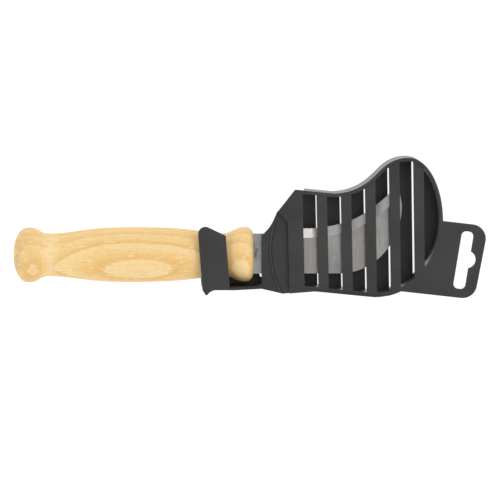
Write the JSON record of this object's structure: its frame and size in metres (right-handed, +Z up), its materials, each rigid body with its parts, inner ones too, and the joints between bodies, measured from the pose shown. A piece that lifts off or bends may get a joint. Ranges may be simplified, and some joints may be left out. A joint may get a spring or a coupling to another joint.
{
  "type": "hook knife in a slatted sheath",
  "caption": "Hook knife with a turned wooden handle, held in a slatted black plastic sheath with a neck clip, an open slanted mouth and a hang tab with a euro slot.",
  "frame": {"origin": "bottom centre of the object's box, lying on the sheath's flat back", "axes": "+X from the pommel along the handle to the hang tab, +Y to the side that the hook points to, +Z up out of the slatted front"},
  "size_m": [0.2356, 0.0702, 0.0254],
  "materials": {
    "birch": "satin lacquer",
    "blade_steel": "satin ground",
    "adhesive": "cured",
    "sheath_plastic": "fine matt texture"
  },
  "bodies": {
    "sheath": {"sheath_wall": "sheath_plastic", "sheath_front_slats": "sheath_plastic", "sheath_back_slats": "sheath_plastic", "sheath_throat": "sheath_plastic", "sheath_bridge": "sheath_plastic", "sheath_clip": "sheath_plastic", "sheath_hang_tab": "sheath_plastic"},
    "knife": {"handle": "birch", "blade": "blade_steel", "tang_bond": "adhesive"}
  },
  "joints": [
    {"name": "knife_draw", "type": "hinge", "parent": "sheath", "child": "knife", "pos_m": [0.02546, 0.08394, 0.0127], "axis": [0, 0, -1], "range_deg": [0, 75]}
  ]
}
